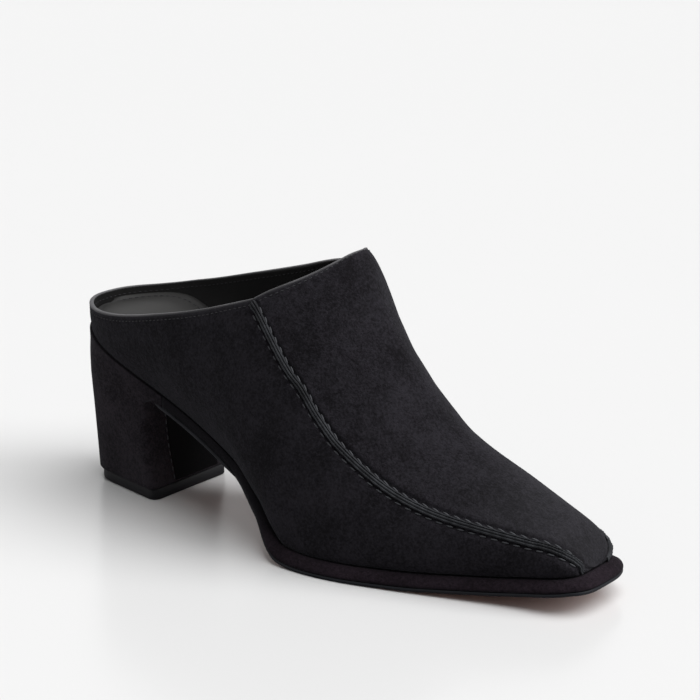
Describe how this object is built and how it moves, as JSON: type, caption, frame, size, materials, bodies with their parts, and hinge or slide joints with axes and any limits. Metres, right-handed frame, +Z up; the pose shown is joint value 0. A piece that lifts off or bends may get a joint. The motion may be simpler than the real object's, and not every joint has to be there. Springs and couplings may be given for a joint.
{
  "type": "heeled mule",
  "caption": "Right heeled mule with a high throat, raised seams to a square toe, covered rand, leather sole and block heel",
  "frame": {"origin": "Middle of the top lift's flat underside, on the floor.", "axes": "+X towards the toe, along the shoe's length. +Z up. -Y is the outer side of the right foot."},
  "size_m": [0.2463, 0.0838, 0.1124],
  "materials": {
    "suede": "near-black suede nap, matt",
    "rand_suede": "near-black suede nap, slightly brown, matt",
    "insole_leather": "smooth dark grey leather, satin",
    "sole_leather": "smooth pink-tan leather, satin",
    "rubber": "black rubber, matt"
  },
  "bodies": {
    "root": {"upper": "suede", "seam_ridge_outer": "suede", "seam_ridge_inner": "suede", "heel": "suede", "rand": "rand_suede", "insole": "insole_leather", "outsole": "sole_leather", "top_lift": "rubber"}
  },
  "joints": []
}
